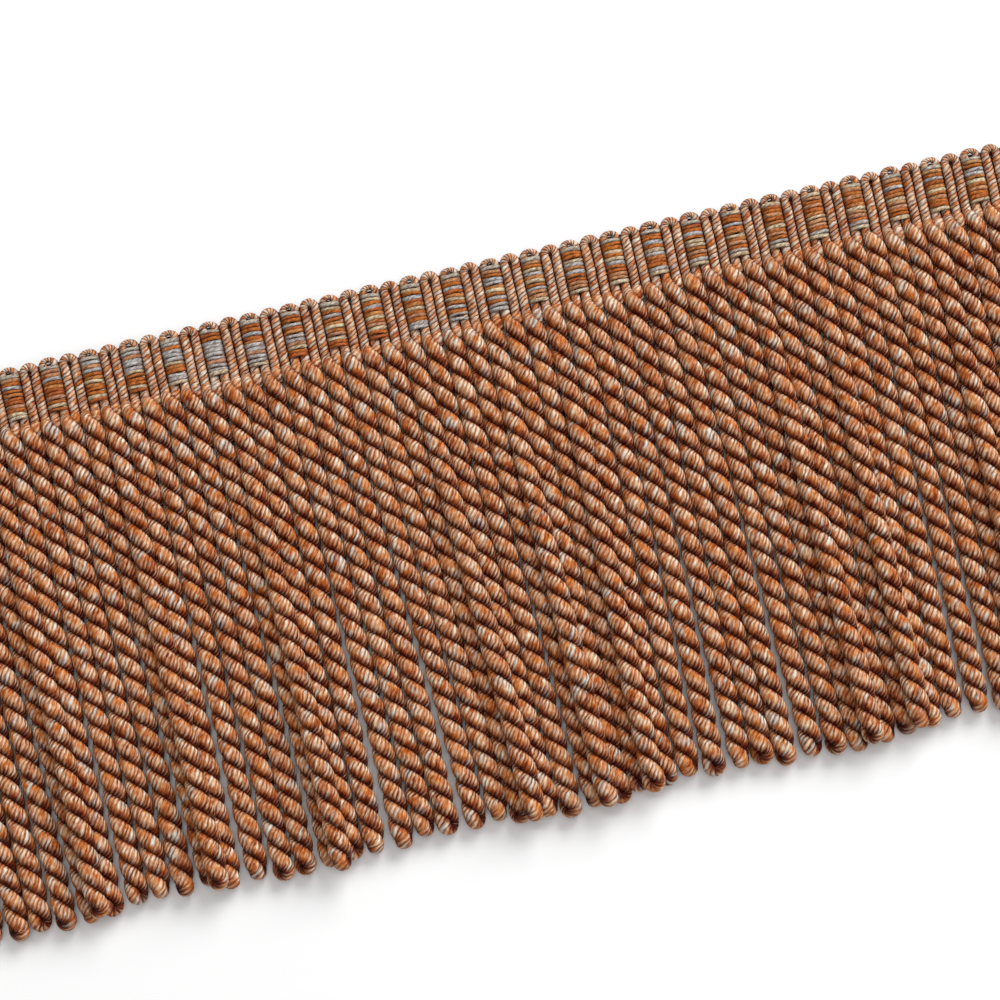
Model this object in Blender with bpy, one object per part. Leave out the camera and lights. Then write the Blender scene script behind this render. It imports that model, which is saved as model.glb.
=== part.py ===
"""A cut length of bullion fringe trim, lying flat: a woven heading with a looped top edge,
and a skirt of two-ply twisted cords, the bullions.

Metres, +Z up. X runs along the heading and +Y points from the bullions' tips to the loops.
The origin is under the middle of the trim, on the surface that it lies on.
"""

import math

import bmesh
import bpy

MM = 0.001

# The heading: loops of cord side by side, with flat yarns woven over every second one
LOOP_COUNT = 58
LOOP_PITCH = 5.6 * MM
HEADING_HEIGHT = 16.0 * MM
HEADING_LENGTH = LOOP_COUNT * LOOP_PITCH
COVER_START = 1.9 * MM
COVER_END = 13.7 * MM
COVER_STEP = 0.4 * MM
LOOP_NOTCH = 2.1 * MM
COVERED_TOP = 4.3 * MM
CORD_TOP = 3.5 * MM
VALLEY_TOP = 2.5 * MM
LOOP_EDGE_TOP = 1.9 * MM

# The skirt: one bullion hangs between each two loops
BULLION_COUNT = LOOP_COUNT - 1
BULLION_LENGTH = 136.0 * MM
BULLION_CORNER_REACH = 3.0 * MM
BULLION_SIDES = 3
BULLION_STEPS = 32
TWIST_A_STEP = math.radians(45.0)
TIP_ROUNDING = 1.7 * MM
TIP_REACH_SHARE = 0.6
STRIP_GAP = 0.3 * MM
STRIP_DEPTH = 2.0 * MM
STRIP_HEIGHT = 4.2 * MM
ROOT_HALF_WIDTH = 2.3 * MM

# How the skirt lies: its tips fan out, and every sixth or so bullion rides up on its neighbours
RIDERS = (5, 11, 17, 26, 30, 33, 43, 46, 52)
TIP_FAN = 1.2 * MM
TIP_UNEVENNESS = 0.05
LENGTH_UNEVENNESS = 2.0 * MM
SPREAD_START = 0.06
GROOVE_AT_ROOT = LOOP_PITCH
GROOVE_AT_TIP = 6.2 * MM

HEADING_COLOUR = (0.30, 0.15, 0.09, 1.0)
BULLION_COLOUR = (0.33, 0.13, 0.05, 1.0)


def bullion_lengths():
    """Each bullion's length: uneven, in slow waves and from one to the next."""
    waves = [0.6 * math.sin(0.48 * n + 0.4) + 0.4 * math.sin(2.3 * n) for n in range(BULLION_COUNT)]
    return [BULLION_LENGTH + LENGTH_UNEVENNESS * wave for wave in waves]


# The heading's lower edge in Y: the trim's middle is the origin's
HEADING_Y = (max(bullion_lengths()) - HEADING_HEIGHT) / 2


def clear_scene():
    """Removes the startup objects."""
    for obj in list(bpy.data.objects):
        bpy.data.objects.remove(obj)


def yarn_material(name, colour):
    """A matt, dyed yarn."""
    material = bpy.data.materials.new(name)
    material.use_nodes = True
    shader = material.node_tree.nodes["Principled BSDF"]
    shader.inputs["Base Color"].default_value = colour
    shader.inputs["Roughness"].default_value = 0.8
    shader.inputs["Metallic"].default_value = 0.0
    return material


def object_from(name, bm, material, collection):
    """Turns a bmesh into a named object of the trim."""
    mesh = bpy.data.meshes.new(name)
    bmesh.ops.recalc_face_normals(bm, faces=bm.faces)
    bm.to_mesh(mesh)
    bm.free()
    mesh.materials.append(material)
    obj = bpy.data.objects.new(name, mesh)
    collection.objects.link(obj)
    return obj


def smoothstep(value):
    """0 below 0, 1 above 1, and a soft rise between."""
    value = min(1.0, max(0.0, value))
    return value * value * (3 - 2 * value)


def is_covered(loop):
    """Every second pair of cords lies under the woven yarns."""
    return loop % 2 == 1


def heading_columns():
    """Places across the heading's ribs: (x, height under the cover, height of the bare cords, loop edge's reach)."""
    covered = ((-0.5, 0.0), (-0.37, 0.7), (-0.14, 1.0), (0.14, 1.0), (0.37, 0.7))
    cord_pair = ((-0.5, 0.0), (-0.36, 0.8), (-0.16, 0.8), (0.0, 0.1), (0.16, 0.8), (0.36, 0.8))
    columns = []
    for loop in range(LOOP_COUNT):
        middle = (loop - (LOOP_COUNT - 1) / 2) * LOOP_PITCH
        top = COVERED_TOP if is_covered(loop) else CORD_TOP
        for place, swell in covered if is_covered(loop) else cord_pair:
            reach = math.sqrt(1 - (2 * place) ** 2)
            columns.append(
                (
                    middle + place * LOOP_PITCH,
                    VALLEY_TOP + swell * (top - VALLEY_TOP),
                    VALLEY_TOP + swell * (CORD_TOP - VALLEY_TOP),
                    reach,
                )
            )
    columns.append((HEADING_LENGTH / 2, VALLEY_TOP, VALLEY_TOP, 0.0))
    return columns


def make_heading(collection):
    """The woven heading: a ribbed band with a loop at the top of each pair of cords."""
    columns = heading_columns()
    rows = (
        (0.0, False),
        (COVER_START, False),
        (COVER_START + COVER_STEP, True),
        (COVER_END - COVER_STEP, True),
        (COVER_END, False),
        (HEADING_HEIGHT, False),
    )
    bm = bmesh.new()
    bmesh.ops.create_grid(bm, x_segments=len(columns) - 1, y_segments=len(rows) - 1, size=1.0)
    bm.verts.ensure_lookup_table()
    for vert in bm.verts:
        column = round((vert.co.x + 1) / 2 * (len(columns) - 1))
        row = round((vert.co.y + 1) / 2 * (len(rows) - 1))
        x, covered_top, cord_top, reach = columns[column]
        y, under_cover = rows[row]
        z = covered_top if under_cover else cord_top
        if row == len(rows) - 1:
            y = HEADING_HEIGHT - LOOP_NOTCH * (1 - reach)
            z = LOOP_EDGE_TOP
        vert.co = (x, HEADING_Y + y, z)
    rim = [edge for edge in bm.edges if edge.is_boundary]
    skirt = bmesh.ops.extrude_edge_only(bm, edges=rim)["geom"]
    base = [item for item in skirt if isinstance(item, bmesh.types.BMVert)]
    for vert in base:
        vert.co.z = 0.0
    under = [edge for edge in bm.edges if edge.is_boundary]
    bmesh.ops.contextual_create(bm, geom=under)
    return object_from("heading", bm, yarn_material("heading_yarn", HEADING_COLOUR), collection)


def tip_places():
    """Where each tip lies in X: those on the surface spread evenly, with a rider above each groove."""
    lying = [n for n in range(BULLION_COUNT) if n not in RIDERS]
    gaps = [1 + TIP_UNEVENNESS * math.sin(2.1 * n) for n in range(len(lying) - 1)]
    width = (BULLION_COUNT - 1) * LOOP_PITCH + 2 * TIP_FAN
    places = {lying[0]: -width / 2}
    for before, after, gap in zip(lying, lying[1:], gaps):
        places[after] = places[before] + gap * width / sum(gaps)
    for rider in RIDERS:
        places[rider] = (places[rider - 1] + places[rider + 1]) / 2
    return places


def root_place(bullion):
    """A bullion's root in X, midway between two loops."""
    return (bullion - (BULLION_COUNT - 1) / 2) * LOOP_PITCH


def bullion_centre(bullion, share, tips):
    """(x, z) of a bullion's centreline at a share of its length from the root."""
    spread = smoothstep((share - SPREAD_START) / (1 - SPREAD_START))
    x = root_place(bullion) + (tips[bullion] - root_place(bullion)) * spread
    if bullion not in RIDERS:
        return x, BULLION_CORNER_REACH
    left, _ = bullion_centre(bullion - 1, share, tips)
    right, _ = bullion_centre(bullion + 1, share, tips)
    groove = GROOVE_AT_ROOT + (GROOVE_AT_TIP - GROOVE_AT_ROOT) * spread
    lift = math.sqrt(max(0.0, groove**2 - ((right - left) / 2) ** 2))
    return (left + right) / 2, BULLION_CORNER_REACH + lift


def bullion_section(bullion, step, length, tips):
    """The corners of a bullion at one step: each section is turned on from the one before, as the plies are."""
    drop = STRIP_GAP + STRIP_DEPTH
    is_tip = step == BULLION_STEPS
    if is_tip:
        drop = length
    else:
        drop += (length - TIP_ROUNDING - drop) * step / (BULLION_STEPS - 1)
    x, z = bullion_centre(bullion, drop / length, tips)
    reach = BULLION_CORNER_REACH * (TIP_REACH_SHARE if is_tip else 1.0)
    turned = math.pi / 2 - step * TWIST_A_STEP
    corners = [turned + corner * math.tau / BULLION_SIDES for corner in range(BULLION_SIDES)]
    return [(x + reach * math.cos(angle), HEADING_Y - drop, z + reach * math.sin(angle)) for angle in corners]


def make_strip(bm):
    """The narrow strip that the bullions grow from, as a bmesh. Returns the triangle of each root."""
    near = HEADING_Y - STRIP_GAP
    far = near - STRIP_DEPTH
    end = HEADING_LENGTH / 2

    def point(x, y, z):
        return bm.verts.new((x, y, z))

    back = [point(-end, near, 0), point(end, near, 0), point(end, near, STRIP_HEIGHT), point(-end, near, STRIP_HEIGHT)]
    left_foot, left_top = point(-end, far, 0), point(-end, far, STRIP_HEIGHT)
    right_foot, right_top = point(end, far, 0), point(end, far, STRIP_HEIGHT)
    roots = []
    for bullion in range(BULLION_COUNT):
        x = root_place(bullion)
        apex = point(x, far, STRIP_HEIGHT)
        left = point(x - ROOT_HALF_WIDTH, far, 0)
        right = point(x + ROOT_HALF_WIDTH, far, 0)
        roots.append(bm.faces.new((apex, left, right)))
    apexes = [root.verts[0] for root in roots]
    feet = [vert for root in roots for vert in root.verts[1:]]
    bm.faces.new(back)
    bm.faces.new([back[3], back[2], right_top, *reversed(apexes), left_top])
    bm.faces.new([back[1], back[0], left_foot, *feet, right_foot])
    bm.faces.new((back[0], back[3], left_top, left_foot))
    bm.faces.new((back[2], back[1], right_foot, right_top))
    bm.faces.new((left_top, apexes[0], feet[0], left_foot))
    bm.faces.new((apexes[-1], right_top, right_foot, feet[-1]))
    for before, after in zip(roots, roots[1:]):
        bm.faces.new((before.verts[0], after.verts[0], after.verts[1], before.verts[2]))
    return roots


def make_bullion_fringe(collection):
    """The skirt: each root on the strip is drawn out and turned, step by step, into a twisted bullion."""
    bm = bmesh.new()
    roots = make_strip(bm)
    tips = tip_places()
    lengths = bullion_lengths()
    for bullion, face in enumerate(roots):
        for step in range(1, BULLION_STEPS + 1):
            face = bmesh.ops.extrude_discrete_faces(bm, faces=[face])["faces"][0]
            corners = bullion_section(bullion, step, lengths[bullion], tips)
            for vert, corner in zip(face.verts, corners):
                vert.co = corner
    quads = [face for face in bm.faces if len(face.verts) == 4]
    bmesh.ops.triangulate(bm, faces=quads, quad_method="SHORT_EDGE")
    material = yarn_material("bullion_yarn", BULLION_COLOUR)
    return object_from("bullion_fringe", bm, material, collection)


def main():
    clear_scene()
    collection = bpy.data.collections.new("bullion_fringe_trim")
    bpy.context.scene.collection.children.link(collection)
    make_heading(collection)
    make_bullion_fringe(collection)


main()
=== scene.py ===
import math
import typing

import bpy
import numpy as np
from mathutils import Matrix, Vector


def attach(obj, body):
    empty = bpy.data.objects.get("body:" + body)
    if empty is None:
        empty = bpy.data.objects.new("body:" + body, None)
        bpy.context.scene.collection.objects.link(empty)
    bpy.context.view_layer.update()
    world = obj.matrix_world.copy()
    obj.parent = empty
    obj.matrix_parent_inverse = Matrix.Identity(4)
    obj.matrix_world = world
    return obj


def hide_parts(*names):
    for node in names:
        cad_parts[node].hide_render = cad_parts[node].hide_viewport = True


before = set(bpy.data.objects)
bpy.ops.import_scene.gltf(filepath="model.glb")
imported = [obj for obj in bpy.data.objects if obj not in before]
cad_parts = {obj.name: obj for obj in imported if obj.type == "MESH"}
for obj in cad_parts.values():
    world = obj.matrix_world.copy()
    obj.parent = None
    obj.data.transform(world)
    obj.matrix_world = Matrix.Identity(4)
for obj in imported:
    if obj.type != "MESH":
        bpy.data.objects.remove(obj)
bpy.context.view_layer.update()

MM = 0.001
TAU = math.tau

# The heading, as in the CAD
LOOP_COUNT = 58
LOOP_PITCH = 5.6 * MM
HEADING_HEIGHT = 16.0 * MM
HEADING_LENGTH = LOOP_COUNT * LOOP_PITCH

# The way that the bullions lie, as in the CAD
BULLION_COUNT = LOOP_COUNT - 1
BULLION_LENGTH = 136.0 * MM
LENGTH_UNEVENNESS = 2.0 * MM
RIDERS = (5, 11, 17, 26, 30, 33, 43, 46, 52)
TIP_FAN = 1.2 * MM
TIP_UNEVENNESS = 0.05
SPREAD_START = 0.06

# Soft cords press closer together than the CAD's bullions do
GROOVE_WIDTH = 5.6 * MM

# The heading's cord: one leg goes up, turns over in a loop and comes down beside itself
CORD_RADIUS = 1.34 * MM
CORD_OFFSET = 1.4 * MM
CORD_HEIGHT = 2.0 * MM
CORD_SIDES = 12
CORD_STEP = 0.26 * MM
CORD_ENDS = 3
CORD_PITCH = 1.15 * MM
CORD_SWAY = 0.05 * MM
CORD_SWAY_LENGTH = 2.1 * MM
LOOP_FOOT = -2.0 * MM

# How far its yarns stand out, as a share of its radius, and the mean of the curve that they follow
CORD_SWELL = 0.11
MEAN_CORD_SWELL = 0.64

# How far along the heading's cord the first loop starts, in metres, for the count of its yarns
LOOP_CORD_START = 0.355

# A loop's top strays between these from its place
LOWEST_TOP = -0.25 * MM
HIGHEST_TOP = 0.05 * MM

# The turn at a loop's top, where the yarns show closer together than on the legs
TURN_RADIUS = 1.16 * MM
TURN_OFFSET = 1.56 * MM
TURN_EASE = 2.4 * MM
TURN_CROWDING = 1.7

# A covered loop lies deeper under the weave, and its turn is lower and thinner, as shares of an open one's
COVERED_CORD_HEIGHT = 1.7 * MM
COVERED_EASE = 1.0 * MM
COVERED_RISE = 0.74
COVERED_THIN = 0.62

# The flat yarns that are woven over every second pair of cords
WARP_ROWS = 12
WARP_START = 0.85 * MM
WARP_END = 13.3 * MM
WARP_HALF_SPAN = 2.66 * MM
WARP_FOOT = 1.1 * MM
WARP_CROWN = 3.66 * MM
WARP_BOW = 0.28 * MM
WARP_HALF_WIDTH = 0.56 * MM
WARP_HALF_THICKNESS = 0.45 * MM
WARP_SIDES = 8
WARP_RINGS = 15

# A float's outline across a pair of cords: one power flattens its crown, the other steepens its sides
WARP_CROWN_POWER = 2.8
WARP_SIDE_POWER = 0.55

# How far a float strays from its row's place and shape
WARP_STRAY = 0.12 * MM
WARP_SIDEWAYS = 0.1 * MM
WARP_CROWN_STRAY = 0.1 * MM
WARP_SLANT = 0.2 * MM
WARP_BOW_STRAY = 0.14 * MM
WARP_WIDTH_STRAY = 0.22

# Where a float goes down into the weave it gets painted shade
WARP_END_SHADE_FROM = 0.62
WARP_END_SHADE_OVER = 0.34

# The same yarns behind the open pairs
BACK_FLOAT_HEIGHT = 0.3 * MM
BACK_FLOAT_RISE = 0.5 * MM
BACK_FLOAT_GAP = 0.01 * MM
BACK_FLOAT_STRAY = 0.1 * MM
BACK_FLOAT_SLANT = 0.12 * MM
BACK_FLOAT_WIDTH = 0.95
BACK_FLOAT_RINGS = 9

# The band that the cords stand on: how far its back and its front are above the surface
BAND_BACK = 0.28 * MM
BAND_FRONT = 0.7 * MM
BAND_BOTTOM = -0.2 * MM
# Its top reaches up behind the holes of the loops and the notches between them, where its painted shade
# shows
BAND_TOP = 14.3 * MM

# A bullion: two plies of the cord, each flattened against the other, and fuller towards the tip
PLY_OUT = 1.62 * MM
PLY_HALF_WIDTH = 2.14 * MM
TIP_HALF_WIDTH = 1.98 * MM
PLY_OFFSET = 1.36 * MM
HALF_PLY_GAP = 0.03 * MM
TIP_FULLNESS = 1.1
PLY_LEAD = 13.1 * MM
PLY_SIDES = 12
PLY_STEP = 0.75 * MM
BULLION_RADIUS = PLY_OFFSET + PLY_OUT + 0.06 * MM
CORD_FOR_A_BULLION = 0.40
TIP_LEAN = 0.5 * MM

# At its root a bullion is as thin as the heading's cord, then grows, rises and starts to twist
PLY_START = 0.2 * MM
THIN_UNTIL = 0.6 * MM
GROWS_OVER = 1.7 * MM
RISES_OVER = 3.0 * MM
TWIST_EARLIEST = 0.2 * MM
TWIST_LATER = 1.9 * MM
TWIST_EASE = 1.2 * MM

# No bullion is twisted or filled quite evenly: shares of its lead and girth, and an angle in radians
LEAD_UNEVENNESS = 0.035
SWAY = 0.12
SWAY_WAVES = 9
SWAY_GROWS_OVER = 20.0 * MM
GIRTH_UNEVENNESS = 0.03
GIRTH_WAVES = 23

# At its tip the cord turns over, drawn out a little by the twist
TURN_STEPS = 12
TURN_STRETCH = 1.25

# A tube's last ring is this share of its size, so that the tube all but closes
END_SHARE = 0.1

# Where the painted shade beside a tube starts, from 0 at its crest to 1 inside, and over how much it grows
LOOP_PAINTED_SHADE = (0.26, 0.42)
WARP_PAINTED_SHADE = (0.15, 0.35)

# A ply's painted shade starts sooner and grows more softly on the flank that faces the tip, which also gets
# a broad painted shade of its own
PLY_SHADE_START = 0.2
PLY_SHADE_SOONER = 0.2
PLY_SHADE_WIDTH = 0.34
PLY_SHADE_SOFTER = 0.14
FLANK_PAINTED_SHADE = 0.52
FLANK_SHADE_WIDTH = 0.85

# The camera looks straight down on a part of the trim
VIEW_WIDTH = 273.4 * MM
VIEW_TURN = math.radians(-12.8)
VIEW_X = 2.7 * MM
VIEW_BELOW_HEADING = 49.2 * MM
LENS_MM = 100.0
SENSOR_MM = 36.0

# The white surround's strength, and the floor just below the trim
SURROUND_STRENGTH = 0.38
FLOOR_HALF_SIZE = 3.0
FLOOR_DROP = 0.02 * MM


def bullion_lengths():
    """Each bullion's length: uneven, in slow waves and from one to the next."""
    waves = [0.6 * math.sin(0.48 * n + 0.4) + 0.4 * math.sin(2.3 * n) for n in range(BULLION_COUNT)]
    return [BULLION_LENGTH + LENGTH_UNEVENNESS * wave for wave in waves]


LENGTHS = bullion_lengths()
HEADING_Y = (max(LENGTHS) - HEADING_HEIGHT) / 2


def uneven(chance, size):
    """A random amount between -size and size."""
    return chance.uniform(-size, size)


def smoothstep(value):
    """0 below 0, 1 above 1, and a soft rise between, for a number or an array."""
    value = np.clip(value, 0.0, 1.0)
    return value * value * (3 - 2 * value)


def linear(red, green, blue):
    """A colour given as 0 to 255, as Blender's nodes take it."""
    def channel(value):
        value /= 255
        return value / 12.92 if value <= 0.04045 else ((value + 0.055) / 1.055) ** 2.4

    return (channel(red), channel(green), channel(blue), 1.0)


# Meshes from arrays of rings


def ring_faces(rings, sides):
    """The quads between rings of points, each given as four indices."""
    ring, side = np.meshgrid(np.arange(rings - 1), np.arange(sides), indexing="ij")
    beside = (side + 1) % sides
    quads = np.stack(
        (ring * sides + side, ring * sides + beside, (ring + 1) * sides + beside, (ring + 1) * sides + side),
        axis=-1,
    )
    return quads.reshape(-1, 4)


def ring_uvs(lengths, sides):
    """U runs once round the tube and V along it in metres, for each corner of ring_faces."""
    ring, side = np.meshgrid(np.arange(len(lengths) - 1), np.arange(sides), indexing="ij")
    left = side / sides
    right = (side + 1) / sides
    here = lengths[ring]
    there = lengths[ring + 1]
    corners = ((left, here), (right, here), (right, there), (left, there))
    return np.stack([np.stack(corner, axis=-1) for corner in corners], axis=2).reshape(-1, 2)


def ring_angles(sides):
    """The angle of each point of a ring, 0 at the one that faces out."""
    return np.arange(sides) / sides * TAU - math.pi


def ring_painted_shade(rings, sides, start, width):
    """How deep each point lies in the painted shade beside its tube: 0 at the crest, 1 on the inner side."""
    side = np.abs(2 * np.arange(sides) / sides - 1)
    return np.tile(smoothstep((side - start) / width), (rings, 1))


def ply_painted_shade(side):
    """The painted shade in the groove beside a bullion's ply, and the softer painted shade on its flank that
    faces the tip.
    """
    angles = ring_angles(PLY_SIDES)
    inward = np.abs(angles) / math.pi
    faces_tip = np.sin(angles)[None, :] * side[:, None]
    start = PLY_SHADE_START - PLY_SHADE_SOONER * faces_tip
    width = PLY_SHADE_WIDTH + PLY_SHADE_SOFTER * faces_tip
    painted_shade = smoothstep((inward - start) / width)
    return np.maximum(painted_shade, FLANK_PAINTED_SHADE * smoothstep(faces_tip / FLANK_SHADE_WIDTH))


def normalised(vectors):
    """Each row at length 1."""
    return vectors / np.linalg.norm(vectors, axis=-1, keepdims=True)


def pinched(values):
    """The values with the first and the last made small."""
    values = values.copy()
    values[[0, -1]] *= END_SHARE
    return values


def tube(centres, outward, reach, half_width, inner_limit, sides, swell=1.0):
    """Rings round a path: reach along outward, half_width across it, and cut flat inside at inner_limit."""
    tangents = normalised(np.gradient(centres, axis=0))
    across = normalised(np.cross(tangents, outward))
    outward = np.cross(across, tangents)
    angles = ring_angles(sides)
    out = np.maximum(reach[:, None] * np.cos(angles) * swell, -inner_limit[:, None])
    side = half_width[:, None] * np.sin(angles) * swell
    return centres[:, None, :] + out[..., None] * outward[:, None, :] + side[..., None] * across[:, None, :]


def path_lengths(centres):
    """How far along the path each centre is, in metres."""
    steps = np.linalg.norm(np.diff(centres, axis=0), axis=1)
    return np.concatenate(([0.0], np.cumsum(steps)))


def mesh_object(name, parts, material):
    """One smooth object from a list of (points, quads, uvs, painted shade), keeping the painted shade at
    each point.
    """
    points = np.concatenate([part[0].reshape(-1, 3) for part in parts])
    starts = np.cumsum([0] + [part[0].reshape(-1, 3).shape[0] for part in parts[:-1]])
    quads = np.concatenate([part[1] + start for part, start in zip(parts, starts)])
    uvs = np.concatenate([part[2] for part in parts])
    painted_shades = np.concatenate([part[3].ravel() for part in parts])
    mesh = bpy.data.meshes.new(name)
    mesh.vertices.add(len(points))
    mesh.vertices.foreach_set("co", points.ravel().astype(np.float32))
    mesh.loops.add(quads.size)
    mesh.loops.foreach_set("vertex_index", quads.ravel().astype(np.int32))
    mesh.polygons.add(len(quads))
    mesh.polygons.foreach_set("loop_start", np.arange(0, quads.size, 4, dtype=np.int32))
    mesh.update(calc_edges=True)
    mesh.polygons.foreach_set("use_smooth", np.ones(len(quads), dtype=bool))
    layer = mesh.uv_layers.new(name="Yarn")
    layer.data.foreach_set("uv", uvs.ravel().astype(np.float32))
    shade = mesh.attributes.new("PaintedShade", "FLOAT", "POINT")
    shade.data.foreach_set("value", painted_shades.astype(np.float32))
    mesh.materials.append(material)
    obj = bpy.data.objects.new(name, mesh)
    bpy.context.scene.collection.objects.link(obj)
    return obj


# Materials


class Nodes:
    """Adds shader nodes to a material and links them."""

    def __init__(self, material):
        material.use_nodes = True
        self.tree = material.node_tree
        self.shader = self.tree.nodes["Principled BSDF"]

    def _set(self, socket, value):
        if isinstance(value, bpy.types.NodeSocket):
            self.tree.links.new(value, socket)
        else:
            socket.default_value = value

    def math(self, operation, first, second=0.0, third=0.0, clamp=False):
        node = self.tree.nodes.new("ShaderNodeMath")
        node.operation = operation
        node.use_clamp = clamp
        self._set(node.inputs[0], first)
        self._set(node.inputs[1], second)
        self._set(node.inputs[2], third)
        return node.outputs[0]

    def vector(self, x, y, z=0.0):
        node = self.tree.nodes.new("ShaderNodeCombineXYZ")
        for socket, value in zip(node.inputs, (x, y, z)):
            self._set(socket, value)
        return node.outputs[0]

    def split(self, vector):
        """A vector's X and Y."""
        node = self.tree.nodes.new("ShaderNodeSeparateXYZ")
        self.tree.links.new(vector, node.inputs[0])
        return node.outputs["X"], node.outputs["Y"]

    def uv(self):
        """The way round a tube and the way along it."""
        node = self.tree.nodes.new("ShaderNodeUVMap")
        node.uv_map = "Yarn"
        return self.split(node.outputs["UV"])

    def place(self):
        """X and Y in the part's frame."""
        node = self.tree.nodes.new("ShaderNodeTexCoord")
        return self.split(node.outputs["Object"])

    def painted_shade(self):
        """The painted shade that mesh_object keeps at each point."""
        node = self.tree.nodes.new("ShaderNodeAttribute")
        node.attribute_name = "PaintedShade"
        return node.outputs["Fac"]

    def noise(self, vector, detail, roughness=0.5):
        node = self.tree.nodes.new("ShaderNodeTexNoise")
        self._set(node.inputs["Vector"], vector)
        node.inputs["Scale"].default_value = 1.0
        node.inputs["Detail"].default_value = detail
        node.inputs["Roughness"].default_value = roughness
        return node.outputs["Fac"]

    def random(self, vector):
        node = self.tree.nodes.new("ShaderNodeTexWhiteNoise")
        node.noise_dimensions = "3D"
        self._set(node.inputs["Vector"], vector)
        return node.outputs["Value"]

    def ramp(self, factor, stops, interpolation="LINEAR"):
        node = self.tree.nodes.new("ShaderNodeValToRGB")
        node.color_ramp.interpolation = interpolation
        elements = node.color_ramp.elements
        elements[0].position, elements[0].color = stops[0]
        elements[1].position, elements[1].color = stops[-1]
        for position, colour in stops[1:-1]:
            elements.new(position).color = colour
        self._set(node.inputs["Fac"], factor)
        return node.outputs["Color"]

    def mix(self, factor, first, second):
        """The first colour at 0 and the second at 1: the node's colour sockets are told apart by number."""
        node = self.tree.nodes.new("ShaderNodeMix")
        node.data_type = "RGBA"
        self._set(node.inputs["Factor"], factor)
        self._set(node.inputs[6], first)
        self._set(node.inputs[7], second)
        return node.outputs[2]

    def surface(self, colour, height, relief, roughness, specular):
        """Gives the shader its colour, a bump as deep as relief, and its shine."""
        bump = self.tree.nodes.new("ShaderNodeBump")
        bump.inputs["Strength"].default_value = 1.0
        bump.inputs["Distance"].default_value = relief
        self._set(bump.inputs["Height"], height)
        self.tree.links.new(bump.outputs["Normal"], self.shader.inputs["Normal"])
        self.tree.links.new(colour, self.shader.inputs["Base Color"])
        self.shader.inputs["Roughness"].default_value = roughness
        self.shader.inputs["Specular IOR Level"].default_value = specular


# The colours of a yarn over its tone, from the painted shade beside it to the painted highlight on its
# crest, where its light stripes don't show
BARE_COLOURS = (
    (0.00, linear(44, 2, 1)),
    (0.16, linear(94, 24, 6)),
    (0.34, linear(150, 68, 22)),
    (0.52, linear(190, 104, 42)),
    (0.70, linear(212, 146, 90)),
    (1.00, linear(238, 200, 156)),
)
# The same where they show: these light stripes are partly the yarn's own cream filaments and partly painted
# highlight on its crests
LINED_COLOURS = (
    (0.00, linear(44, 3, 2)),
    (0.16, linear(100, 34, 16)),
    (0.34, linear(156, 96, 64)),
    (0.52, linear(196, 152, 116)),
    (0.66, linear(216, 188, 160)),
    (0.80, linear(234, 218, 198)),
    (1.00, linear(248, 240, 226)),
)
# The same for a yarn that is dyed pale
PALE_COLOURS = (
    (0.00, linear(58, 22, 18)),
    (0.25, linear(110, 76, 66)),
    (0.50, linear(180, 160, 146)),
    (0.75, linear(216, 206, 188)),
    (1.00, linear(242, 238, 226)),
)

# Painted shade lowers the tone, and then is mixed into the colour as a deep red-brown
PAINTED_SHADE_COLOUR = linear(50, 3, 1)
PAINTED_SHADE_TONE = 0.34
PAINTED_SHADE_DARKNESS = 0.68

# How much of a yarn's tone is its own, comes in patches along it, or is in its filaments
OWN_SHARE = 0.22
PATCH_SHARE = 0.24
FILAMENT_SHARE = 0.46

# How much painted shade darkens all of the band, which shows between the floats
BAND_PAINTED_SHADE = 0.4

# How deep the yarns and a warp's filaments are, and how they shine
YARN_RELIEF = 0.3 * MM
WARP_RELIEF = 0.16 * MM
FILAMENT_RELIEF_SHARE = 0.35
YARN_ROUGHNESS = 0.55
YARN_SPECULAR = 0.12
BAND_ROUGHNESS = 0.7
BAND_SPECULAR = 0.5

# A yarn's way round a cord, in the millimetres that its noises are given in
ROUND_A_CORD_MM = 12.0


class Noise(typing.NamedTuple):
    """How fast a noise changes each way. Its layer sets it apart, and its gain spreads its values."""
    first: float
    second: float
    layer: float
    detail: float
    roughness: float
    gain: float


# How the yarns stray, their patches and filaments, where the light stripes of cream and painted highlight
# show, and where yarns are pale
DRIFT = Noise(first=0.22, second=420.0, layer=0.0, detail=2.0, roughness=0.5, gain=1.0)
PATCHES = Noise(first=3.71, second=0.3, layer=0.0, detail=2.0, roughness=0.5, gain=2.0)
FILAMENTS = Noise(first=3.2, second=0.45, layer=7.0, detail=2.0, roughness=0.6, gain=2.2)
LINED_PARTS = Noise(first=0.4, second=0.33, layer=11.0, detail=1.0, roughness=0.5, gain=3.0)
PALE_NEIGHBOURS = Noise(first=0.6, second=0.13, layer=3.0, detail=1.0, roughness=0.5, gain=2.0)
PALE_STRETCHES = Noise(first=0.11, second=0.0, layer=3.0, detail=1.0, roughness=0.5, gain=2.2)

# How strongly a pale stretch comes and goes, and how sharply a pale spot ends
PALE_STRETCH_GAIN = 0.7
PALE_SPOT_GAIN = 5.0


class Yarn(typing.NamedTuple):
    """How the yarns of a cord lie beside each other, how they are dyed, and how much painted highlight their
    crests get.
    """
    name: str
    # How many lie side by side round the cord, and how far apart they come along it
    ends: int
    pitch: float
    # Sets its noises apart from those of the other cords
    seed: float
    # How far the yarns stray, in yarns
    wobble: float
    # 1 slopes straight from a yarn's crest to its edges, and more keeps the crest broad
    crest_power: float
    # How much of the tone comes from the crests: painted highlight on each crest and painted shade at its
    # edges
    crest_light_share: float
    # How clearly the crests' painted highlight shows where it shows least
    evenness: float
    # How many yarns are dyed pale, and whether only every second one can be
    pale_share: float
    pale_every_second: bool
    mean_tone: float


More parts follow.
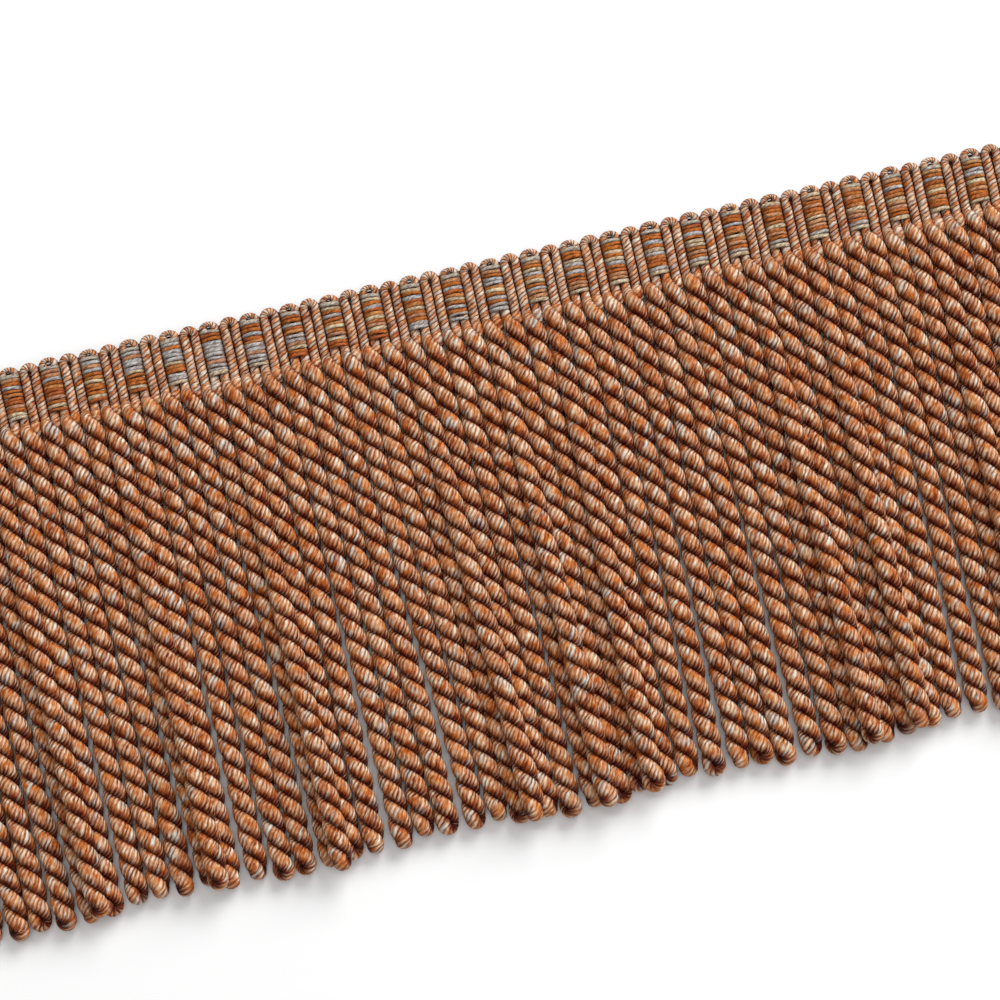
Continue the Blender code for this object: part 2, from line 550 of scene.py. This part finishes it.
BULLION_YARN = Yarn(
    name="bullion_yarn",
    ends=4,
    pitch=0.82 * MM,
    seed=0.0,
    wobble=1.2,
    crest_power=1.1,
    crest_light_share=0.5,
    evenness=0.2,
    pale_share=0.24,
    pale_every_second=False,
    mean_tone=0.525,
)
LOOP_YARN = Yarn(
    name="loop_yarn",
    ends=CORD_ENDS,
    pitch=CORD_PITCH,
    seed=40.0,
    wobble=0.9,
    crest_power=2.8,
    crest_light_share=0.4,
    evenness=0.6,
    pale_share=0.85,
    pale_every_second=True,
    mean_tone=0.49,
)
BAND_YARN = Yarn(
    name="band_weave",
    ends=1,
    pitch=1.0 * MM,
    seed=21.0,
    wobble=0.0,
    crest_power=2.2,
    crest_light_share=0.4,
    evenness=1.0,
    pale_share=0.3,
    pale_every_second=False,
    mean_tone=0.44,
)


def stretched(nodes, value, gain, clamp=False):
    """Noise gathers round a half: this spreads it out again."""
    return nodes.math("MULTIPLY_ADD", value, gain, 0.5 - 0.5 * gain, clamp)


def spread_noise(nodes, noise, first, second, seed, clamp=False):
    """A noise over two ways across the surface."""
    place = nodes.vector(
        nodes.math("MULTIPLY", first, noise.first),
        nodes.math("MULTIPLY", second, noise.second),
        seed + noise.layer,
    )
    return stretched(nodes, nodes.noise(place, noise.detail, noise.roughness), noise.gain, clamp)


def pale_part(nodes, yarn, index, around_mm):
    """Where the yarns are pale: every second one part of the way, or a few neighbours here and there."""
    if yarn.pale_every_second:
        every_second = nodes.math("LESS_THAN", nodes.math("FLOORED_MODULO", index, 2.0), 0.5)
        slow = spread_noise(nodes, PALE_STRETCHES, index, 0.0, yarn.seed)
        share = nodes.math("MULTIPLY_ADD", slow, PALE_STRETCH_GAIN, yarn.pale_share - 0.5, clamp=True)
        return nodes.math("MULTIPLY", every_second, share)
    family = spread_noise(nodes, PALE_NEIGHBOURS, index, around_mm, yarn.seed)
    above = nodes.math("SUBTRACT", family, 1 - yarn.pale_share)
    return nodes.math("MULTIPLY_ADD", above, PALE_SPOT_GAIN, 0.5, clamp=True)


def yarn_surface(nodes, yarn, phase, around_mm, painted_shade):
    """The colour and height of yarns side by side, from the count across them and the way along them, with
    painted highlight on their crests and the given painted shade.
    """
    index = nodes.math("FLOOR", phase)
    across = nodes.math("FRACT", phase)
    centred = nodes.math("ABSOLUTE", nodes.math("MULTIPLY_ADD", across, 2.0, -1.0))
    crest = nodes.math("SUBTRACT", 1.0, nodes.math("POWER", centred, yarn.crest_power))
    mean_crest = 1 - 1 / (1 + yarn.crest_power)

    own = nodes.random(nodes.vector(index, yarn.seed))
    patches = spread_noise(nodes, PATCHES, index, around_mm, yarn.seed)
    filaments = spread_noise(nodes, FILAMENTS, phase, around_mm, yarn.seed)
    lined = spread_noise(nodes, LINED_PARTS, phase, around_mm, yarn.seed, clamp=True)
    pale = pale_part(nodes, yarn, index, around_mm)
    clearness = nodes.math("MULTIPLY_ADD", lined, 1 - yarn.evenness, yarn.evenness)
    strength = nodes.math("MAXIMUM", clearness, pale)
    # Painted highlight on each yarn's crest and painted shade at its edges, strongest where the light
    # stripes show
    crest_light = nodes.math("MULTIPLY", nodes.math("SUBTRACT", crest, mean_crest), strength)

    tone = yarn.mean_tone - (OWN_SHARE + PATCH_SHARE + FILAMENT_SHARE) / 2
    tone = nodes.math("MULTIPLY_ADD", own, OWN_SHARE, tone)
    tone = nodes.math("MULTIPLY_ADD", patches, PATCH_SHARE, tone)
    tone = nodes.math("MULTIPLY_ADD", filaments, FILAMENT_SHARE, tone)
    tone = nodes.math("MULTIPLY_ADD", crest_light, yarn.crest_light_share, tone)
    # Painted shade lowers the tone and then darkens the colour
    tone = nodes.math("MULTIPLY_ADD", painted_shade, -PAINTED_SHADE_TONE, tone)
    colour = nodes.mix(lined, nodes.ramp(tone, BARE_COLOURS), nodes.ramp(tone, LINED_COLOURS))
    colour = nodes.mix(pale, colour, nodes.ramp(tone, PALE_COLOURS))
    colour = nodes.mix(nodes.math("MULTIPLY", painted_shade, PAINTED_SHADE_DARKNESS), colour, PAINTED_SHADE_COLOUR)
    height = nodes.math("MULTIPLY_ADD", filaments, FILAMENT_RELIEF_SHARE, crest)
    return colour, height


def yarn_material(yarn):
    """A twisted cord: its yarns side by side round it, one every pitch along it."""
    material = bpy.data.materials.new(yarn.name)
    nodes = Nodes(material)
    around, along = nodes.uv()
    around_mm = nodes.math("MULTIPLY", around, ROUND_A_CORD_MM)
    phase = nodes.math("MULTIPLY", along, 1 / yarn.pitch)
    phase = nodes.math("MULTIPLY_ADD", around, -float(yarn.ends), phase)
    drift = spread_noise(nodes, DRIFT, around_mm, along, yarn.seed)
    phase = nodes.math("MULTIPLY_ADD", drift, yarn.wobble, phase)
    colour, height = yarn_surface(nodes, yarn, phase, around_mm, nodes.painted_shade())
    nodes.surface(colour, height, YARN_RELIEF, YARN_ROUGHNESS, YARN_SPECULAR)
    return material


# The warps' colours from the lowest row to the highest
WARP_COLOURS = (
    linear(238, 220, 186),
    linear(206, 202, 194),
    linear(214, 118, 30),
    linear(220, 160, 120),
    linear(210, 124, 50),
    linear(238, 220, 178),
    linear(224, 146, 74),
    linear(208, 108, 28),
    linear(204, 208, 208),
    linear(214, 120, 26),
    linear(228, 168, 108),
    linear(214, 208, 190),
)

# A row takes another colour for some of its stretches, each as long as six loops are wide
WARP_CHANGES = (
    (0.0, linear(238, 216, 176)),
    (0.2, linear(214, 116, 28)),
    (0.4, linear(210, 208, 204)),
    (0.6, linear(222, 158, 108)),
    (0.8, linear(204, 104, 30)),
)
WARP_STRETCH_MM = 33.6
WARP_CHANGE_SHARE = 0.4

# A warp's filaments are lighter and darker streaks, which slant a little
STREAKS_ROUND = 7.0
STREAK_SLANT = 0.9
STREAK_ALONG = 0.7
STREAK_DETAIL = 3.0
STREAK_ROUGHNESS = 0.7
STREAK_GAIN = 3.6
STREAK_DARKNESS = 0.78
STREAK_LIGHTNESS = 0.05


def warp_colour(nodes, row, along_mm):
    """The colour of each row, which is another one on some stretches of the heading."""
    # The last number of each vector keeps its random values apart from the others'
    offset = nodes.math("MULTIPLY", nodes.random(nodes.vector(row, 9.0)), 7.0)
    stretch = nodes.math("FLOOR", nodes.math("MULTIPLY_ADD", along_mm, 1 / WARP_STRETCH_MM, offset))
    changes = nodes.math("LESS_THAN", nodes.random(nodes.vector(row, stretch, 4.0)), WARP_CHANGE_SHARE)
    # Each stop lies just past the edge between two rows
    stops = [((n + 0.02) / WARP_ROWS if n else 0.0, colour) for n, colour in enumerate(WARP_COLOURS)]
    share = nodes.math("DIVIDE", nodes.math("ADD", row, 0.5), float(WARP_ROWS))
    base = nodes.ramp(share, stops, "CONSTANT")
    other = nodes.ramp(nodes.random(nodes.vector(row, stretch, 6.0)), WARP_CHANGES, "CONSTANT")
    return nodes.mix(changes, base, other)


def warp_material():
    """The warps: each row has its own colours, streaked by its filaments."""
    material = bpy.data.materials.new("warp_yarn")
    nodes = Nodes(material)
    around, along = nodes.uv()
    row = nodes.math("FLOOR", along)
    x, _ = nodes.place()
    along_mm = nodes.math("MULTIPLY", x, 1 / MM)
    base = warp_colour(nodes, row, along_mm)
    slanted = nodes.math("MULTIPLY", along_mm, STREAK_SLANT)
    twisted = nodes.math("MULTIPLY_ADD", around, STREAKS_ROUND, slanted)
    streak = nodes.vector(
        twisted,
        nodes.math("MULTIPLY", along_mm, STREAK_ALONG),
        nodes.math("MULTIPLY", row, 3.1),
    )
    streaks = stretched(nodes, nodes.noise(streak, STREAK_DETAIL, STREAK_ROUGHNESS), STREAK_GAIN)
    dark = nodes.mix(STREAK_DARKNESS, base, linear(84, 26, 10))
    light = nodes.mix(STREAK_LIGHTNESS, base, linear(255, 240, 220))
    colour = nodes.mix(streaks, dark, light)
    # Painted shade on the floats' sides, their inner sides and where they go into the weave
    colour = nodes.mix(nodes.math("MULTIPLY", nodes.painted_shade(), PAINTED_SHADE_DARKNESS), colour, PAINTED_SHADE_COLOUR)
    nodes.surface(colour, streaks, WARP_RELIEF, YARN_ROUGHNESS, YARN_SPECULAR)
    return material


def band_material():
    """The band that the cords are woven through: rows of yarn, all darkened by painted shade, which shows
    between the floats.
    """
    material = bpy.data.materials.new(BAND_YARN.name)
    nodes = Nodes(material)
    x, y = nodes.place()
    rows = nodes.math("MULTIPLY", y, 1 / BAND_YARN.pitch)
    along_mm = nodes.math("MULTIPLY", x, 1 / MM)
    colour, height = yarn_surface(nodes, BAND_YARN, rows, along_mm, BAND_PAINTED_SHADE)
    nodes.surface(colour, height, YARN_RELIEF, BAND_ROUGHNESS, BAND_SPECULAR)
    return material


# The skirt


def root_place(bullion):
    """A bullion's root in X, midway between two loops."""
    return (bullion - (BULLION_COUNT - 1) / 2) * LOOP_PITCH


def tip_places():
    """Where each tip lies in X: those on the surface spread evenly, with a rider above each groove."""
    lying = [n for n in range(BULLION_COUNT) if n not in RIDERS]
    gaps = [1 + TIP_UNEVENNESS * math.sin(2.1 * n) for n in range(len(lying) - 1)]
    width = (BULLION_COUNT - 1) * LOOP_PITCH + 2 * TIP_FAN
    places = {lying[0]: -width / 2}
    for before, after, gap in zip(lying, lying[1:], gaps):
        places[after] = places[before] + gap * width / sum(gaps)
    for rider in RIDERS:
        places[rider] = (places[rider - 1] + places[rider + 1]) / 2
    return places


TIPS = tip_places()


def fullness(share):
    """How much wider a bullion is at a share of its length than at its root."""
    return 1 + (TIP_FULLNESS - 1) * smoothstep(share)


def bullion_centre(bullion, drop):
    """(x, z) of a bullion's centreline at each distance below the heading."""
    share = np.clip(drop / LENGTHS[bullion], 0.0, 1.0)
    spread = smoothstep((share - SPREAD_START) / (1 - SPREAD_START))
    lean = math.sin(1.9 * bullion + 0.6) + 0.5 * math.sin(0.9 * bullion)
    x = root_place(bullion) + (TIPS[bullion] - root_place(bullion)) * spread
    x = x + TIP_LEAN * lean * smoothstep(share * 1.3 - 0.3)
    rise = CORD_HEIGHT + (BULLION_RADIUS * fullness(share) - CORD_HEIGHT) * smoothstep(drop / RISES_OVER)
    if bullion not in RIDERS:
        return x, rise
    left, _ = bullion_centre(bullion - 1, drop)
    right, _ = bullion_centre(bullion + 1, drop)
    lift = np.sqrt(np.maximum(0.0, GROOVE_WIDTH**2 - ((right - left) / 2) ** 2))
    return (left + right) / 2, rise + lift


def twist_angles(drop, length, chance):
    """Which way the first ply lies from the centreline at each distance below the heading."""
    lead = PLY_LEAD * (1 + uneven(chance, LEAD_UNEVENNESS))
    twist_from = TWIST_EARLIEST + TWIST_LATER * chance.random()
    ahead = np.maximum(0.0, drop - twist_from)
    eased = np.where(ahead < TWIST_EASE, ahead**2 / (2 * TWIST_EASE), ahead - TWIST_EASE / 2)
    sway = uneven(chance, SWAY) * np.sin(drop / length * SWAY_WAVES + chance.uniform(0, TAU))
    return math.pi - eased / lead * TAU + sway * smoothstep(drop / SWAY_GROWS_OVER)


def bullion_part(bullion, chance):
    """One bullion: the cord comes down from one loop, turns over at the tip and winds up to the next."""
    length = LENGTHS[bullion]
    turn_at = length - TIP_FULLNESS * (PLY_OUT + TURN_STRETCH * PLY_OFFSET)
    steps = int(round((turn_at - PLY_START) / PLY_STEP))
    drop = np.linspace(PLY_START, turn_at, steps + 1)
    angle = twist_angles(drop, length, chance)

    turn = np.linspace(0, math.pi, TURN_STEPS + 1)[1:-1]
    straight = np.zeros(len(drop))
    turning = np.concatenate((straight, np.sin(turn), straight))
    down = np.concatenate((drop, np.full(len(turn), turn_at), drop[::-1]))
    below = TIP_FULLNESS * TURN_STRETCH * PLY_OFFSET * turning
    facing = np.concatenate((angle, np.full(len(turn), angle[-1]), angle[::-1]))
    side = np.concatenate((straight + 1, np.cos(turn), straight - 1))

    x, z = bullion_centre(bullion, down + below)
    radial = np.stack((np.cos(facing), np.zeros(len(facing)), np.sin(facing)), axis=1)
    offset = PLY_OFFSET * fullness(down / length)
    centres = np.stack((x, HEADING_Y - down - below, z), axis=1) + radial * (side * offset)[:, None]
    outward = radial * side[:, None] + np.array((0.0, -1.0, 0.0)) * turning[:, None]

    full = smoothstep((down - THIN_UNTIL) / GROWS_OVER)
    girth = np.sin(down / length * GIRTH_WAVES + chance.uniform(0, TAU))
    swell = fullness(down / length) * (1 + GIRTH_UNEVENNESS * girth)
    widest = PLY_HALF_WIDTH + (TIP_HALF_WIDTH - PLY_HALF_WIDTH) * smoothstep(down / length)
    reach = pinched((CORD_RADIUS + (PLY_OUT - CORD_RADIUS) * full) * swell)
    half_width = pinched((CORD_RADIUS + (widest - CORD_RADIUS) * full) * swell)
    points = tube(centres, outward, reach, half_width, offset - HALF_PLY_GAP, PLY_SIDES)
    lengths = path_lengths(centres) + bullion * CORD_FOR_A_BULLION
    twisted = smoothstep(np.abs(facing - math.pi) / (0.5 * math.pi))
    # Painted shade in the grooves between the plies and on their flanks that face the tip, fading out near
    # the root where the plies have not yet turned
    painted_shade = ply_painted_shade(side) * twisted[:, None]
    return points, ring_faces(len(down), PLY_SIDES), ring_uvs(lengths, PLY_SIDES), painted_shade


def make_bullions(material):
    """A piece for each bullion, each unlike its neighbours in its twist."""
    chance = np.random.default_rng(11)
    pieces = []
    for bullion in range(BULLION_COUNT):
        pieces.append(mesh_object(f"bullion_{bullion:02d}", [bullion_part(bullion, chance)], material))
    return pieces


# The heading


def loop_place(loop):
    """A loop's middle in X."""
    return (loop - (LOOP_COUNT - 1) / 2) * LOOP_PITCH


def is_covered(loop):
    """Every second pair of cords lies under the woven yarns."""
    return loop % 2 == 1


def loop_part(loop, chance):
    """The cord of one loop: up one leg, over and down the other."""
    covered = is_covered(loop)
    rise = TURN_OFFSET * (COVERED_RISE if covered else 1.0)
    thin = COVERED_THIN if covered else 1.0
    top = HEADING_HEIGHT - rise - TURN_RADIUS * thin + chance.uniform(LOWEST_TOP, HIGHEST_TOP)
    leg = np.linspace(LOOP_FOOT, top, int((top - LOOP_FOOT) / CORD_STEP))
    turn = np.linspace(0, math.pi, int(math.pi * TURN_OFFSET / CORD_STEP))[1:-1]
    straight = np.zeros(len(leg))
    on_turn = np.concatenate((straight, np.ones(len(turn)), straight))
    turning = np.concatenate((straight, np.sin(turn), straight))

    open_up = smoothstep((leg - top + TURN_EASE) / TURN_EASE)
    leg_offset = CORD_OFFSET + (TURN_OFFSET - CORD_OFFSET) * open_up
    leg_radius = CORD_RADIUS + (TURN_RADIUS - CORD_RADIUS) * open_up
    along = np.concatenate((leg, top + rise * np.sin(turn), leg[::-1]))
    across = np.concatenate((-leg_offset, -TURN_OFFSET * np.cos(turn), leg_offset[::-1]))
    radius = np.concatenate((leg_radius, np.full(len(turn), TURN_RADIUS), leg_radius[::-1]))
    half_width = radius * (1 - (1 - thin) * turning)

    sunk = COVERED_CORD_HEIGHT if covered else CORD_HEIGHT
    past_start = smoothstep((along - WARP_START + COVERED_EASE) / COVERED_EASE)
    before_end = smoothstep((WARP_END + COVERED_EASE - along) / COVERED_EASE)
    height = CORD_HEIGHT + (sunk - CORD_HEIGHT) * past_start * before_end
    x = loop_place(loop) + across + CORD_SWAY * np.sin(along / CORD_SWAY_LENGTH + loop)
    centres = np.stack((x, HEADING_Y + along, height), axis=1)
    outward = np.tile(np.array((0.0, 0.0, 1.0)), (len(along), 1))

    steps = np.diff(path_lengths(centres)) * (1 + (TURN_CROWDING - 1) * on_turn[1:])
    lengths = np.concatenate(([0.0], np.cumsum(steps))) + loop * CORD_FOR_A_BULLION + LOOP_CORD_START
    counted = lengths[:, None] / CORD_PITCH - CORD_ENDS * np.arange(CORD_SIDES) / CORD_SIDES
    ridges = np.abs(np.sin(math.pi * counted)) - MEAN_CORD_SWELL
    swell = 1 + CORD_SWELL * (1 - on_turn[:, None]) * ridges
    radius = pinched(radius)
    # An inner limit past the radius leaves the tube uncut
    points = tube(centres, outward, radius, pinched(half_width), radius * 1.2, CORD_SIDES, swell)
    # Painted shade on the cord's sides and underside
    painted_shade = ring_painted_shade(len(along), CORD_SIDES, *LOOP_PAINTED_SHADE)
    return points, ring_faces(len(along), CORD_SIDES), ring_uvs(lengths, CORD_SIDES), painted_shade


def make_loops(material):
    """All the heading's cords, as one piece."""
    chance = np.random.default_rng(5)
    return mesh_object("heading_loops", [loop_part(loop, chance) for loop in range(LOOP_COUNT)], material)


def warp_place(row):
    """A warp's middle in Y."""
    return HEADING_Y + WARP_START + (WARP_END - WARP_START) * (row + 0.5) / WARP_ROWS


def float_part(row, centres, outward, thick, wide):
    """One float of a warp. The whole part of its V is its row, which tells its material the colour."""
    points = tube(centres, outward, thick, wide, thick, WARP_SIDES)
    uvs = ring_uvs(path_lengths(centres) + row + 0.1, WARP_SIDES)
    # Painted shade on the float's sides and inner side
    painted_shade = ring_painted_shade(len(centres), WARP_SIDES, *WARP_PAINTED_SHADE)
    return points, ring_faces(len(centres), WARP_SIDES), uvs, painted_shade


def warp_part(loop, row, chance):
    """One float of a warp over a covered pair of cords."""
    y = warp_place(row) + uneven(chance, WARP_STRAY)
    share = np.linspace(-1, 1, WARP_RINGS)
    x = loop_place(loop) + uneven(chance, WARP_SIDEWAYS) + share * WARP_HALF_SPAN
    crown = WARP_CROWN + uneven(chance, WARP_CROWN_STRAY)
    z = WARP_FOOT + (crown - WARP_FOOT) * (1 - np.abs(share) ** WARP_CROWN_POWER) ** WARP_SIDE_POWER
    slant = uneven(chance, WARP_SLANT)
    bow = WARP_BOW + uneven(chance, WARP_BOW_STRAY)
    centres = np.stack((x, y + slant * share + bow * (1 - share**2), z), axis=1)
    outward = np.tile(np.array((0.0, 0.0, 1.0)), (len(share), 1))
    outward[:, 0] = share**3
    thick = np.full(len(share), WARP_HALF_THICKNESS)
    wide = np.full(len(share), WARP_HALF_WIDTH) * (1 + uneven(chance, WARP_WIDTH_STRAY))
    points, quads, uvs, painted_shade = float_part(row, centres, normalised(outward), thick, wide)
    # Painted shade where the float goes down into the weave
    end_shade = smoothstep((np.abs(share) - WARP_END_SHADE_FROM) / WARP_END_SHADE_OVER)
    return points, quads, uvs, np.maximum(painted_shade, end_shade[:, None])


def back_part(loop, row, chance):
    """One float of a warp behind an open pair of cords, pressed flat on the band."""
    share = np.linspace(-1, 1, BACK_FLOAT_RINGS)
    x = loop_place(loop) + share * WARP_HALF_SPAN
    y = warp_place(row) + uneven(chance, BACK_FLOAT_STRAY) + uneven(chance, BACK_FLOAT_SLANT) * share
    z = BACK_FLOAT_HEIGHT + BACK_FLOAT_RISE * np.abs(share) ** 4
    centres = np.stack((x, y, z), axis=1)
    outward = np.tile(np.array((0.0, 0.0, -1.0)), (len(share), 1))
    thick = np.full(len(share), BACK_FLOAT_HEIGHT - BACK_FLOAT_GAP)
    wide = np.full(len(share), BACK_FLOAT_WIDTH * WARP_HALF_WIDTH)
    return float_part(row, centres, outward, thick, wide)


def make_warps(material):
    """All the floats of the woven yarns, in front of every second pair of cords and behind the others."""
    chance = np.random.default_rng(8)
    parts = []
    for loop in range(LOOP_COUNT):
        shape = warp_part if is_covered(loop) else back_part
        parts += [shape(loop, row, chance) for row in range(WARP_ROWS)]
    return mesh_object("heading_warps", parts, material)


def make_band(material):
    """The thin woven band under the cords."""
    bottom = HEADING_Y + BAND_BOTTOM
    top = HEADING_Y + BAND_TOP
    half = HEADING_LENGTH / 2
    x = np.linspace(-half, half, LOOP_COUNT * 2 + 1)
    profile = np.array([(bottom, BAND_BACK), (bottom, BAND_FRONT), (top, BAND_FRONT), (top, BAND_BACK)])
    points = np.empty((len(x), 4, 3))
    points[:, :, 0] = x[:, None]
    points[:, :, 1:] = profile[None]
    last = (len(x) - 1) * 4
    ends = np.array(((3, 2, 1, 0), (last, last + 1, last + 2, last + 3)))
    quads = np.concatenate((ring_faces(len(x), 4), ends))
    uvs = np.concatenate((ring_uvs(x + half, 4), np.zeros((8, 2))))
    band = mesh_object("heading_band", [(points, quads, uvs, np.zeros((len(x), 4)))], material)
    band.data.polygons.foreach_set("use_smooth", np.zeros(len(quads), dtype=bool))
    return band


# The studio


def in_view(right, up, towards):
    """A direction given as the picture sees it, in the part's frame."""
    turn = Matrix.Rotation(VIEW_TURN, 3, "Z")
    return turn @ Vector((right, up, towards))


def make_camera():
    """Looks straight down, turned so that the heading climbs to the right."""
    data = bpy.data.cameras.new("camera")
    data.lens = LENS_MM
    data.sensor_width = SENSOR_MM
    data.clip_start = 0.01
    camera = bpy.data.objects.new("camera", data)
    distance = VIEW_WIDTH * LENS_MM / SENSOR_MM
    camera.location = (VIEW_X, HEADING_Y - VIEW_BELOW_HEADING, distance)
    camera.rotation_euler = (0, 0, VIEW_TURN)
    bpy.context.scene.collection.objects.link(camera)
    bpy.context.scene.camera = camera


def make_light(name, direction, distance, width, height, power):
    """A soft rectangular light that faces the trim, its width along the picture's."""
    data = bpy.data.lights.new(name, "AREA")
    data.shape = "RECTANGLE"
    data.size = width
    data.size_y = height
    data.energy = power
    light = bpy.data.objects.new(name, data)
    towards = in_view(*direction).normalized()
    sideways = in_view(1, 0, 0)
    upwards = towards.cross(sideways).normalized()
    turn = Matrix((sideways, upwards, towards)).transposed().to_4x4()
    light.matrix_world = Matrix.Translation(towards * distance) @ turn
    bpy.context.scene.collection.objects.link(light)


def make_lights():
    """A soft key light from the picture's upper right, a fill from above and an even surround."""
    make_light("key", direction=(0.55, 0.75, 0.6), distance=3.0, width=2.6, height=1.3, power=100.0)
    make_light("fill", direction=(0.0, 0.2, 1.0), distance=3.0, width=1.5, height=1.5, power=18.0)
    world = bpy.data.worlds.new("studio")
    world.use_nodes = True
    world.node_tree.nodes["Background"].inputs["Color"].default_value = (1.0, 1.0, 1.0, 1.0)
    world.node_tree.nodes["Background"].inputs["Strength"].default_value = SURROUND_STRENGTH
    bpy.context.scene.world = world
    bpy.context.scene.view_settings.view_transform = "Standard"


def make_floor():
    """The white surface that the trim lies on."""
    material = bpy.data.materials.new("floor")
    material.use_nodes = True
    shader = material.node_tree.nodes["Principled BSDF"]
    shader.inputs["Base Color"].default_value = (0.95, 0.95, 0.95, 1.0)
    shader.inputs["Roughness"].default_value = 0.9
    shader.inputs["Specular IOR Level"].default_value = 0.1
    mesh = bpy.data.meshes.new("floor")
    half = FLOOR_HALF_SIZE
    corners = [(-half, -half, 0), (half, -half, 0), (half, half, 0), (-half, half, 0)]
    mesh.from_pydata(corners, [], [(0, 1, 2, 3)])
    mesh.materials.append(material)
    floor = bpy.data.objects.new("floor", mesh)
    floor.location.z = -FLOOR_DROP
    bpy.context.scene.collection.objects.link(floor)


def main():
    make_camera()
    make_lights()
    make_floor()
    bullions = make_bullions(yarn_material(BULLION_YARN))
    loops = make_loops(yarn_material(LOOP_YARN))
    warps = make_warps(warp_material())
    band = make_band(band_material())
    for bullion in bullions:
        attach(bullion, "root")
        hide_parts("bullion_fringe")
    for piece in (loops, warps, band):
        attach(piece, "root")
        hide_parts("heading")


main()
